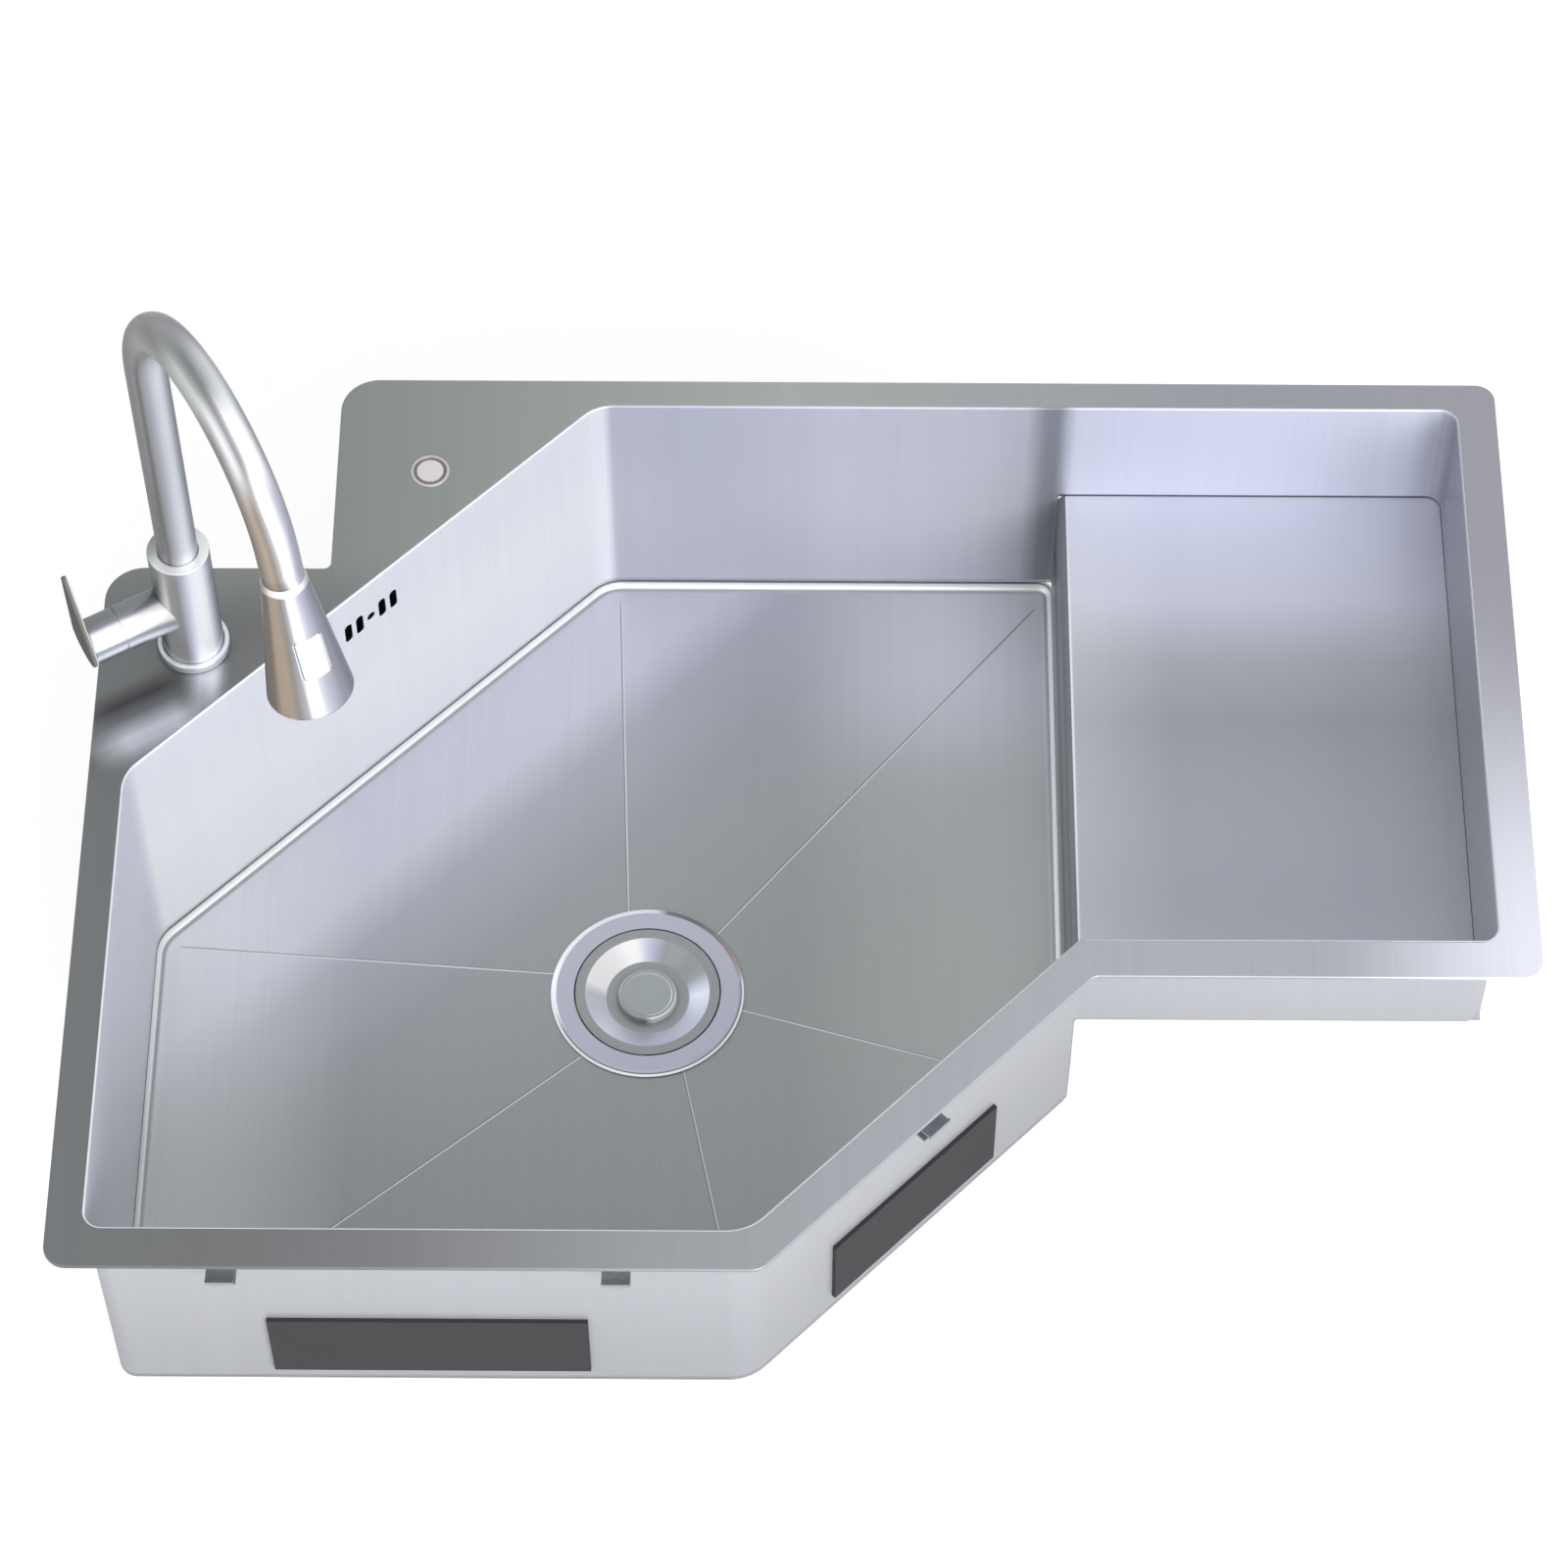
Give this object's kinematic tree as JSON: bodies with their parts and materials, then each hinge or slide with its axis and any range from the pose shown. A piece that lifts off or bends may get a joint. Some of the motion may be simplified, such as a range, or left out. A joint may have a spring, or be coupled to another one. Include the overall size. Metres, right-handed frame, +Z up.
{
  "type": "corner kitchen sink with pull-down mixer tap",
  "caption": "Inset corner kitchen sink in stainless steel with a slanted front, a raised shelf, a waste with lid and a high-arched mixer tap with a pull-down spray.",
  "frame": {"origin": "the waste axis at the level of the worktop, which is the underside of the deck plate", "axes": "+X to the user's right, +Y towards the wall behind the sink, +Z up; the user stands at -Y"},
  "size_m": [0.9603, 0.69, 0.7504],
  "materials": {
    "steel": "brushed stainless steel, grain from front to back",
    "bright": "satin chrome on the tap and polished steel on the waste",
    "zinc": "plain zinc-plated steel",
    "rubber": "matt black rubber",
    "brass": "machined brass",
    "plastic": "moulded dark grey plastic"
  },
  "bodies": {
    "sink": {"deck_plate": "steel", "front_wall": "steel", "slanted_front_wall": "steel", "shelf_front_wall": "steel", "right_wall": "steel", "back_wall": "steel", "slanted_rear_wall": "steel", "left_wall": "steel", "shelf_panel": "steel", "bowl_floor": "steel", "deck_badge": "bright", "wall_pads": "rubber", "shelf_pad": "rubber", "clip_brackets": "zinc", "clip_jaws": "zinc", "clip_screws": "zinc", "overflow_gasket": "rubber", "overflow_housing": "plastic", "overflow_studs": "zinc", "overflow_nuts": "zinc", "overflow_pipe": "plastic", "overflow_clips": "zinc", "flange_seal": "rubber", "waste_flange": "bright", "waste_gasket": "rubber", "waste_body": "plastic", "base_gasket": "rubber", "base_ring": "bright", "tap_body": "bright", "body_cap": "bright", "tap_shank": "brass", "deck_washer": "rubber", "clamp_washer": "zinc", "fixing_nut": "brass", "port_block": "brass", "gallery_plate": "brass", "spout_bush": "plastic", "cartridge_base": "plastic", "cartridge": "plastic", "cartridge_nut": "brass"},
    "spout": {"spout_tube": "bright", "spout_tip": "bright", "spout_circlip": "zinc", "dock_ring": "bright", "hose_guide": "plastic"},
    "spray": {"spray_shell": "bright", "spray_core": "plastic", "spray_face": "plastic", "aerator": "plastic", "hose_nipple": "brass"},
    "button": {"spray_button": "bright"},
    "spindle": {"valve_spindle": "brass", "lever_pin": "zinc"},
    "lever": {"lever": "bright"},
    "basket": {"strainer_basket": "bright"},
    "lid": {"waste_lid": "bright", "lid_knob": "bright", "lid_seal": "rubber"}
  },
  "joints": [
    {"name": "spout_turn", "type": "hinge", "parent": "sink", "child": "spout", "pos_m": [-0.302, 0.139, 0.11], "axis": [0, 0, 1], "range_deg": [-120, 120]},
    {"name": "spray_pull", "type": "slide", "parent": "spout", "child": "spray", "axis": [0.0991, -0.163, -0.9816], "range_m": [0, 0.045]},
    {"name": "button_press", "type": "slide", "parent": "spray", "child": "button", "axis": [-0.4927, 0.8103, -0.3172], "range_m": [0, 0.0015], "stiffness_N_per_m": 1500, "springref_m": -0.001},
    {"name": "spindle_turn", "type": "hinge", "parent": "sink", "child": "spindle", "pos_m": [-0.32798, 0.124, 0.057], "axis": [-0.866, -0.5, 0], "range_deg": [-45, 45]},
    {"name": "lever_tilt", "type": "hinge", "parent": "spindle", "child": "lever", "pos_m": [-0.34496, 0.1142, 0.057], "axis": [0.5, -0.866, 0], "range_deg": [0, 15]},
    {"name": "basket_lift", "type": "slide", "parent": "sink", "child": "basket", "axis": [0, 0, 1], "range_m": [0, 0.25]},
    {"name": "lid_lift", "type": "slide", "parent": "basket", "child": "lid", "axis": [0, 0, 1], "range_m": [0, 0.012]}
  ]
}
